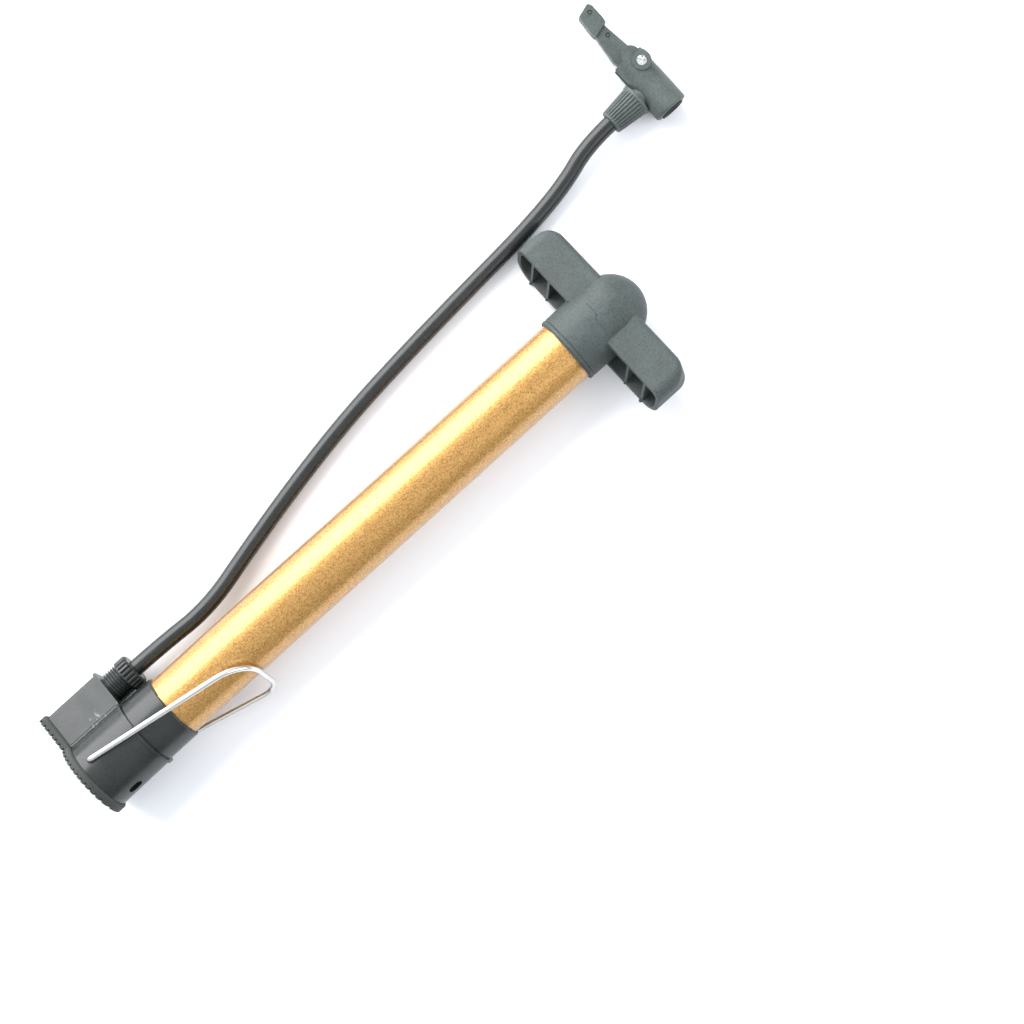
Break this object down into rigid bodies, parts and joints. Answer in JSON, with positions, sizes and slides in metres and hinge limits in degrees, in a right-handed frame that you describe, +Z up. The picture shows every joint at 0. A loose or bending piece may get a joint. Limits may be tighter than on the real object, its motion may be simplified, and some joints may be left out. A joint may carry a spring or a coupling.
{
  "type": "mini pump",
  "caption": "Slim T-handled bicycle pump with a round barrel, lugged foot, fold-out wire stirrup and a side hose ending in a lever valve head.",
  "frame": {"origin": "on the table under the middle of the pump, hose and valve head left out", "axes": "+X along the barrel from the foot to the T-handle, +Y towards the hose, +Z up from the table the pump lies on"},
  "size_m": [0.375, 0.1449, 0.0392],
  "materials": {
    "barrel_paint": "metallic gold lacquer with fine flakes",
    "base_plastic": "satin moulded black plastic",
    "handle_plastic": "fine-grained black plastic",
    "head_plastic": "satin black plastic",
    "sole_rubber": "matt black rubber",
    "hose_rubber": "smooth black rubber hose",
    "seal_rubber": "black nitrile rubber",
    "bright_wire": "bright nickel-plated steel",
    "rod_steel": "polished plated steel",
    "brass": "turned brass",
    "inner_plastic": "natural acetal"
  },
  "bodies": {
    "pump_body": {"foot_pad": "sole_rubber", "base_housing": "base_plastic", "check_valve": "seal_rubber", "valve_plug": "inner_plastic", "barrel": "barrel_paint", "barrel_seal": "seal_rubber", "top_guide": "inner_plastic", "guide_seal": "seal_rubber", "outlet_gland": "base_plastic", "gland_cap": "base_plastic", "gland_barb": "brass", "hose": "hose_rubber", "head_body": "head_plastic", "head_nut": "head_plastic", "head_barb": "brass", "valve_gasket": "seal_rubber", "lever_pin": "bright_wire"},
    "stirrup": {"stirrup": "bright_wire"},
    "piston": {"piston_core": "inner_plastic", "piston_cup": "seal_rubber"},
    "handle": {"piston_rod": "rod_steel", "piston_nut": "rod_steel", "rod_collar": "rod_steel", "t_handle": "handle_plastic", "handle_nut": "brass"},
    "lever": {"lever": "head_plastic"},
    "pusher": {"pusher": "inner_plastic", "depressor_pin": "brass"}
  },
  "joints": [
    {"name": "pump_stroke", "type": "slide", "parent": "pump_body", "child": "piston", "axis": [1, 0, 0], "range_m": [0, 0.2]},
    {"name": "handle_turn", "type": "hinge", "parent": "piston", "child": "handle", "pos_m": [0, 0, 0.0181], "axis": [1, 0, 0], "continuous": true},
    {"name": "stirrup_fold", "type": "hinge", "parent": "pump_body", "child": "stirrup", "pos_m": [-0.14445, 0.00095, 0.01778], "axis": [0, -0.3173, -0.9483], "range_deg": [0, 80]},
    {"name": "lever_turn", "type": "hinge", "parent": "pump_body", "child": "lever", "pos_m": [0.21725, 0.0686, 0.0078], "axis": [0, 0, -1], "range_deg": [0, 90]},
    {"name": "pusher_slide", "type": "slide", "parent": "pump_body", "child": "pusher", "axis": [0, -1, 0], "range_m": [0, 0.0015]}
  ],
  "couplings": [
    {"joint": "pusher_slide", "follows": "lever_turn", "m_per_rad": 0.00095493}
  ]
}
